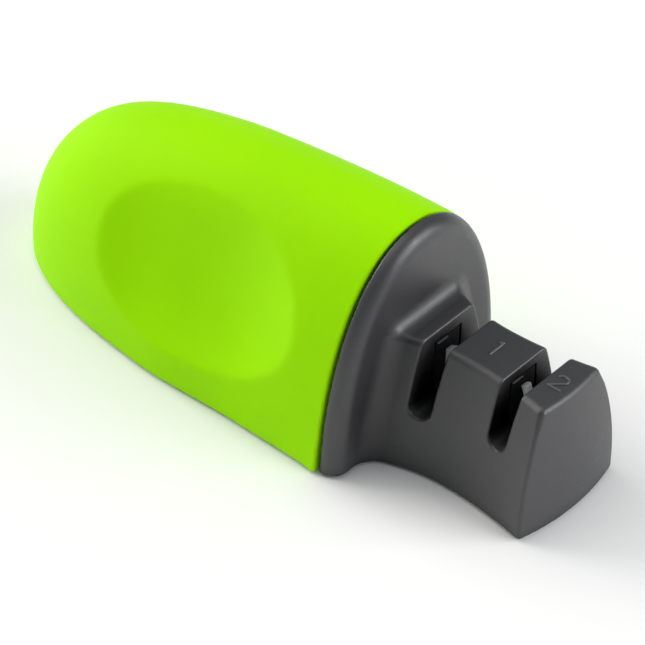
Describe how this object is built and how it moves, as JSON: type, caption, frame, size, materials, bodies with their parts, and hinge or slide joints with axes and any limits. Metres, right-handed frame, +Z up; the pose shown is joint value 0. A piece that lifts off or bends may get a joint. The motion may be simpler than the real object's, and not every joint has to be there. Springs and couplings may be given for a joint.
{
  "type": "knife sharpener",
  "caption": "Hand-held pull-through knife sharpener: soft-skinned palm handle and a slotted head with a coarse carbide stage and a fine ceramic stage.",
  "frame": {"origin": "on the table under the middle of the sharpener's length and width", "axes": "+X from the tail of the handle to the front of the head, +Z up, +Y to the left for a user who looks along +X"},
  "size_m": [0.12, 0.0444, 0.0427],
  "materials": {
    "soft_grip": "soft-touch matt, lime green",
    "housing_plastic": "fine-grained satin, charcoal grey",
    "core_plastic": "as moulded",
    "insert_plastic": "as moulded",
    "pad_rubber": "matt",
    "carbide": "ground",
    "ceramic": "fine unglazed",
    "screw_steel": "zinc plated"
  },
  "bodies": {
    "root": {"grip_skin": "soft_grip", "handle_core": "core_plastic", "handle_base": "housing_plastic", "handle_pad": "pad_rubber", "head_housing": "housing_plastic", "base_cover": "housing_plastic", "front_pad": "pad_rubber", "stage1_holder": "insert_plastic", "carbide_plate_rear": "carbide", "carbide_plate_front": "carbide", "carbide_clamp_screw": "screw_steel", "stage2_holder": "insert_plastic", "ceramic_rod_rear": "ceramic", "ceramic_rod_front": "ceramic", "cover_screw_1": "screw_steel", "cover_screw_2": "screw_steel", "cover_screw_3": "screw_steel", "cover_screw_4": "screw_steel", "neck_screw_1": "screw_steel", "handle_screw_1": "screw_steel", "neck_screw_2": "screw_steel", "handle_screw_2": "screw_steel"}
  },
  "joints": []
}
